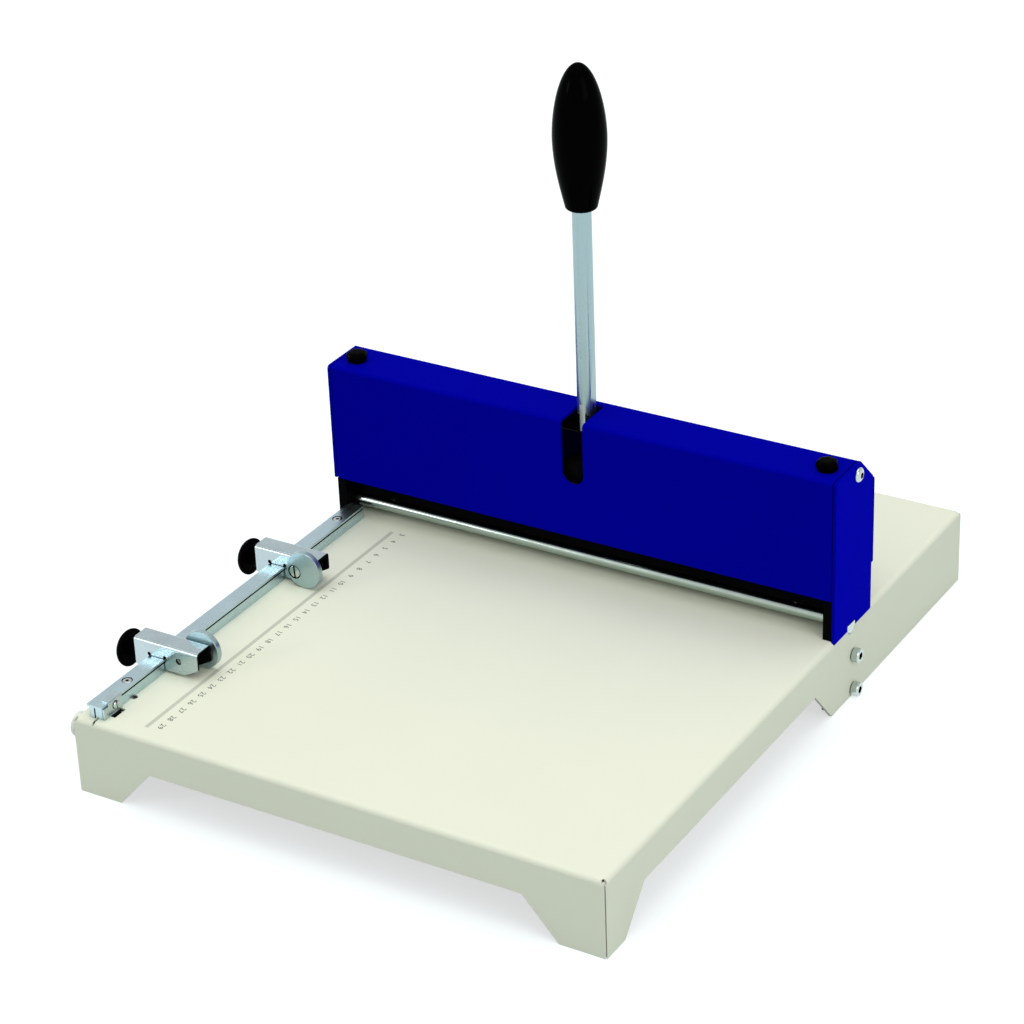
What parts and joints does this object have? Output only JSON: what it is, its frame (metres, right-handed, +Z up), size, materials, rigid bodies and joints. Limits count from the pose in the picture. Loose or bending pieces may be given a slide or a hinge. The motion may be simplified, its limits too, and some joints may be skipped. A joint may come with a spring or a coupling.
{
  "type": "desktop paper creasing machine",
  "caption": "Hand-lever paper creaser: folded sheet table, blue bridge head with cam-driven creasing beam and press bar, side rail with sliding clamped paper stops.",
  "frame": {"origin": "middle of the whole machine's footprint, on the surface it stands on", "axes": "+X along the crease line to the right, +Y from the operator to the rear, +Z up"},
  "size_m": [0.3808, 0.469, 0.3835],
  "materials": {
    "cream_paint": "satin powder coat",
    "blue_paint": "gloss powder coat",
    "black_paint": "satin",
    "zinc": "zinc plated, satin",
    "chrome_rod": "polished",
    "steel": "machined",
    "spring_steel": "satin",
    "bronze": "machined",
    "black_plastic": "gloss"
  },
  "bodies": {
    "frame": {"table_base": "cream_paint", "bed_bar": "steel", "crease_die": "steel", "side_frame_left": "black_paint", "side_frame_right": "black_paint", "frame_bolts": "zinc", "shaft_bushes": "bronze", "top_tie_bar": "steel", "cover_lugs": "zinc", "locating_studs": "zinc", "head_cover": "blue_paint", "end_panel_left": "blue_paint", "end_panel_right": "blue_paint", "end_panel_screws": "zinc", "rail_core": "zinc", "rail_cap": "zinc", "rail_screws": "zinc", "rail_bracket": "zinc", "rail_bracket_screw": "zinc", "wall_button_bolt": "zinc"},
    "lever": {"lever_shaft": "steel", "cam_left": "steel", "cam_right": "steel", "lever_plate": "zinc", "hub_collars": "steel", "lever_rod": "chrome_rod", "lever_grip": "black_plastic"},
    "tool_beam": {"tool_beam": "black_paint", "crease_blade": "zinc", "blade_spacer": "steel", "perforating_blade": "zinc", "blade_screws": "zinc", "return_springs": "spring_steel", "press_springs": "spring_steel"},
    "press_bar": {"press_bar": "zinc", "press_bar_bolts": "zinc"},
    "knob_washer_left": {"knob_washer_left": "black_plastic"},
    "cover_knob_left": {"cover_knob_left": "black_plastic"},
    "knob_washer_right": {"knob_washer_right": "black_plastic"},
    "cover_knob_right": {"cover_knob_right": "black_plastic"},
    "stop_rear": {"stop_bracket_rear": "zinc", "disc_nut_rear": "zinc", "disc_screw_rear": "zinc"},
    "stop_disc_rear": {"stop_disc_rear": "zinc"},
    "clamp_pad_rear": {"clamp_pad_rear": "steel"},
    "clamp_knob_rear": {"clamp_stud_rear": "steel", "clamp_knob_rear": "black_plastic"},
    "stop_front": {"stop_bracket_front": "zinc", "disc_nut_front": "zinc", "disc_screw_front": "zinc"},
    "stop_disc_front": {"stop_disc_front": "zinc"},
    "clamp_pad_front": {"clamp_pad_front": "steel"},
    "clamp_knob_front": {"clamp_stud_front": "steel", "clamp_knob_front": "black_plastic"}
  },
  "joints": [
    {"name": "lever_pull", "type": "hinge", "parent": "frame", "child": "lever", "pos_m": [0.00614, 0.0665, 0.114], "axis": [1, 0, 0], "range_deg": [0, 64], "stiffness_Nm_per_rad": 1, "springref_deg": -20.05},
    {"name": "beam_drop", "type": "slide", "parent": "frame", "child": "tool_beam", "axis": [0, 0, -1], "range_m": [0, 0.006], "deforming": ["return_springs"]},
    {"name": "press_drop", "type": "slide", "parent": "frame", "child": "press_bar", "axis": [0, 0, -1], "range_m": [0, 0.0042]},
    {"name": "cover_knob_lift_left", "type": "slide", "parent": "frame", "child": "knob_washer_left", "axis": [0, 0, 1], "range_m": [0, 0.0024]},
    {"name": "cover_knob_turn_left", "type": "hinge", "parent": "knob_washer_left", "child": "cover_knob_left", "pos_m": [-0.15956, 0.0615, 0.161], "axis": [0, 0, 1], "range_deg": [0, 1080]},
    {"name": "cover_knob_lift_right", "type": "slide", "parent": "frame", "child": "knob_washer_right", "axis": [0, 0, 1], "range_m": [0, 0.0024]},
    {"name": "cover_knob_turn_right", "type": "hinge", "parent": "knob_washer_right", "child": "cover_knob_right", "pos_m": [0.17184, 0.0615, 0.161], "axis": [0, 0, 1], "range_deg": [0, 1080]},
    {"name": "stop_slide_rear", "type": "slide", "parent": "frame", "child": "stop_rear", "axis": [0, 1, 0], "range_m": [-0.05, 0.071]},
    {"name": "stop_disc_turn_rear", "type": "hinge", "parent": "stop_rear", "child": "stop_disc_rear", "pos_m": [-0.14336, -0.0341, 0.0612], "axis": [0, -1, 0], "range_deg": [0, 75]},
    {"name": "clamp_pad_move_rear", "type": "slide", "parent": "stop_rear", "child": "clamp_pad_rear", "axis": [-1, 0, 0], "range_m": [0, 0.0008]},
    {"name": "clamp_knob_turn_rear", "type": "hinge", "parent": "clamp_pad_rear", "child": "clamp_knob_rear", "pos_m": [-0.18386, -0.0341, 0.0563], "axis": [-1, 0, 0], "range_deg": [0, 360]},
    {"name": "stop_slide_front", "type": "slide", "parent": "frame", "child": "stop_front", "axis": [0, 1, 0], "range_m": [-0.042, 0.05]},
    {"name": "stop_disc_turn_front", "type": "hinge", "parent": "stop_front", "child": "stop_disc_front", "pos_m": [-0.14336, -0.1609, 0.0612], "axis": [0, -1, 0], "range_deg": [0, 75]},
    {"name": "clamp_pad_move_front", "type": "slide", "parent": "stop_front", "child": "clamp_pad_front", "axis": [-1, 0, 0], "range_m": [0, 0.0008]},
    {"name": "clamp_knob_turn_front", "type": "hinge", "parent": "clamp_pad_front", "child": "clamp_knob_front", "pos_m": [-0.18386, -0.1609, 0.0563], "axis": [-1, 0, 0], "range_deg": [0, 360]}
  ],
  "couplings": [
    {"joint": "beam_drop", "follows": "lever_pull", "m_per_rad": 0.00537},
    {"joint": "press_drop", "follows": "lever_pull", "m_per_rad": 0.00376},
    {"joint": "cover_knob_turn_left", "follows": "cover_knob_lift_left", "rad_per_m": 7854},
    {"joint": "cover_knob_turn_right", "follows": "cover_knob_lift_right", "rad_per_m": 7854},
    {"joint": "clamp_knob_turn_rear", "follows": "clamp_pad_move_rear", "rad_per_m": 7854},
    {"joint": "clamp_knob_turn_front", "follows": "clamp_pad_move_front", "rad_per_m": 7854}
  ]
}
